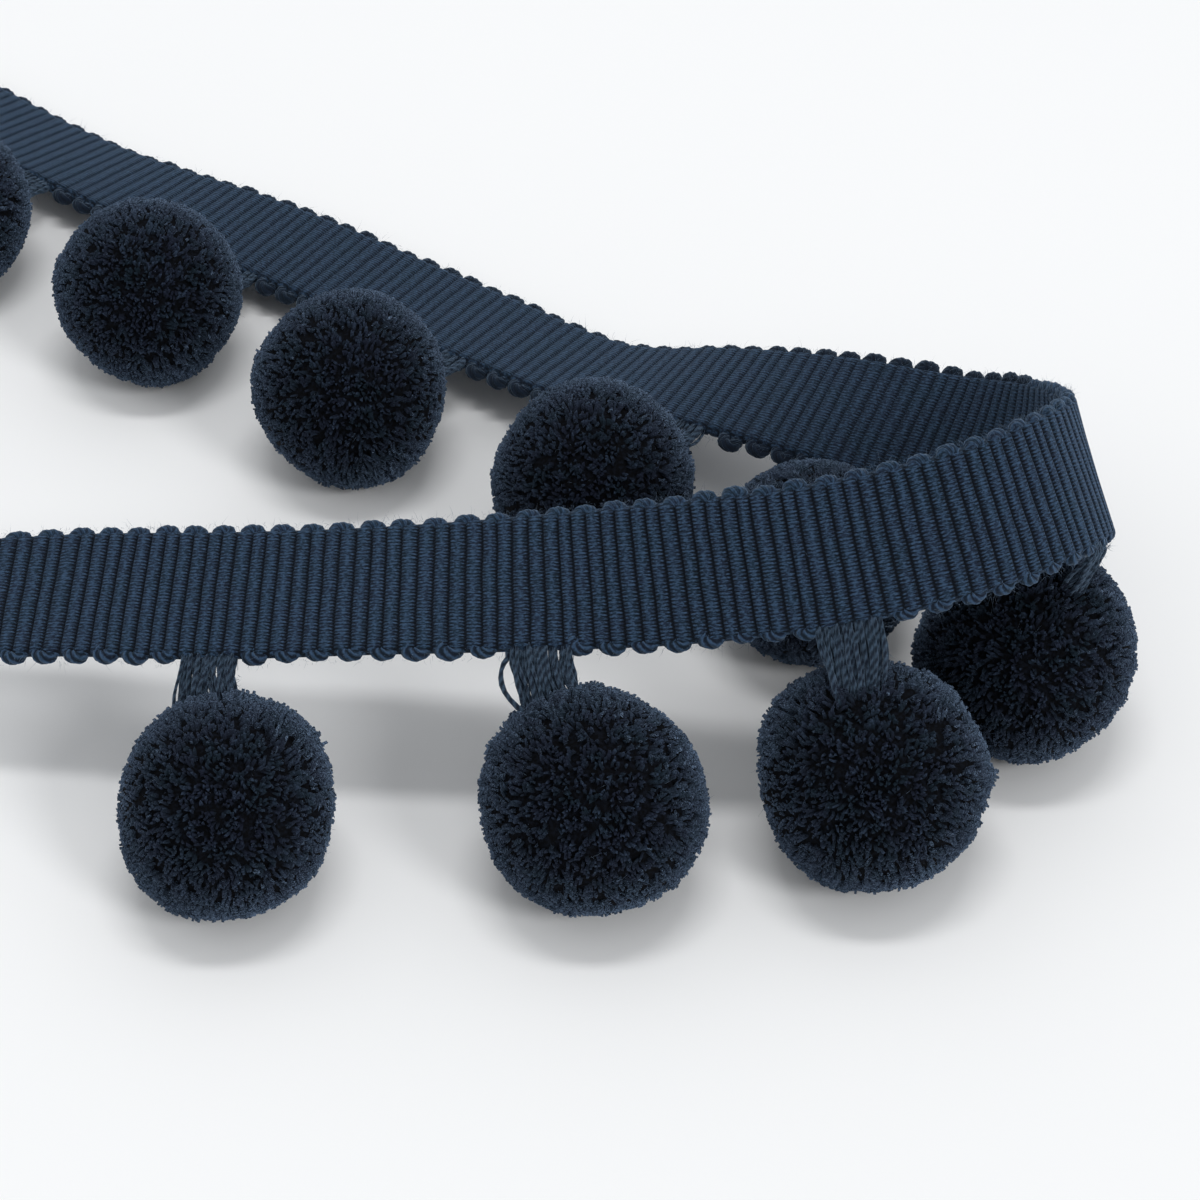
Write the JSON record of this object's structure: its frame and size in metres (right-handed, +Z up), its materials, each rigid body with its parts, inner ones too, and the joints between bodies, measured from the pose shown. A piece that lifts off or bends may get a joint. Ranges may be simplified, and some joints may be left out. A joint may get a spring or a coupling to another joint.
{
  "type": "pompom fringe trim",
  "caption": "Length of navy pompom fringe trim lying in a U: a ribbed, scalloped woven heading with round cut-pile pompoms on short yarn necks.",
  "frame": {"origin": "on the surface it rests on, under the middle of the whole length's bounding box", "axes": "+Z up from the surface. +X runs along the near stretch towards the turn, +Y from the near stretch to the far one"},
  "size_m": [0.1688, 0.1722, 0.045],
  "materials": {
    "band": "woven cotton and wool cord, matt",
    "pile_1": "cut yarn pile, matt",
    "pile_2": "cut yarn pile, matt",
    "pile_3": "cut yarn pile, matt",
    "pile_4": "cut yarn pile, matt",
    "pile_5": "cut yarn pile, matt",
    "pile_6": "cut yarn pile, matt",
    "pile_7": "cut yarn pile, matt",
    "pile_8": "cut yarn pile, matt",
    "pile_9": "cut yarn pile, matt"
  },
  "bodies": {
    "root": {"band": "band", "pompom_1": "pile_1", "pompom_2": "pile_2", "pompom_3": "pile_3", "pompom_4": "pile_4", "pompom_5": "pile_5", "pompom_6": "pile_6", "pompom_7": "pile_7", "pompom_8": "pile_8", "pompom_9": "pile_9"}
  },
  "joints": []
}
